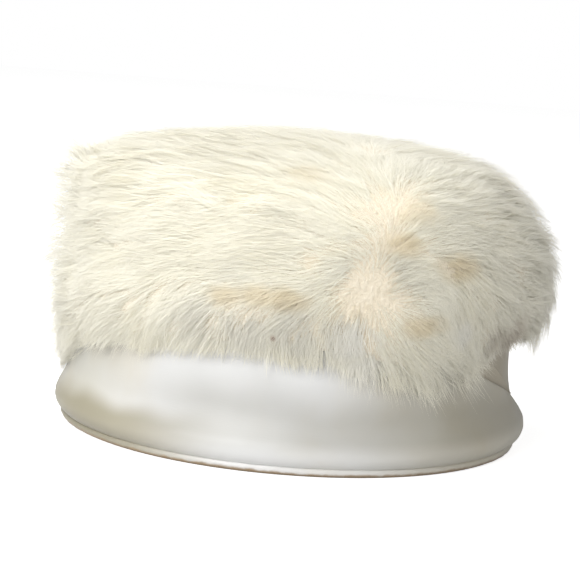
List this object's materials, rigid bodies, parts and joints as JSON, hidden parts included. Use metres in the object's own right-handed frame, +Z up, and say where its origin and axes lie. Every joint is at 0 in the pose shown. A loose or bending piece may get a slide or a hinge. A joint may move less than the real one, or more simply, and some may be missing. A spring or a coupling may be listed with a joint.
{
  "type": "pillbox hat",
  "caption": "Round pillbox hat of deep cream fur with a flared, swathed satin band round its open head opening.",
  "frame": {"origin": "middle of the head opening, in the plane that the rolled rim stands on", "axes": "+Z up through the crown, -Y towards the front of the hat, +X towards the wearer's left, where the satin laps down"},
  "size_m": [0.2017, 0.213, 0.1182],
  "materials": {
    "cord_satin": "satin over a soft cord, slightly soiled",
    "band_satin": "pearl satin, soft sheen",
    "wrap_satin": "pearl satin, soft sheen",
    "fold_satin": "pearl satin, soft sheen",
    "pelt_skin": "suede-like flesh side, matt",
    "fur": "long soft hair, matt"
  },
  "bodies": {
    "root": {"rim_roll": "cord_satin", "satin_band": "band_satin", "satin_wrap": "wrap_satin", "satin_fold": "fold_satin", "crown_skin": "pelt_skin", "fur_pile": "fur"}
  },
  "joints": []
}
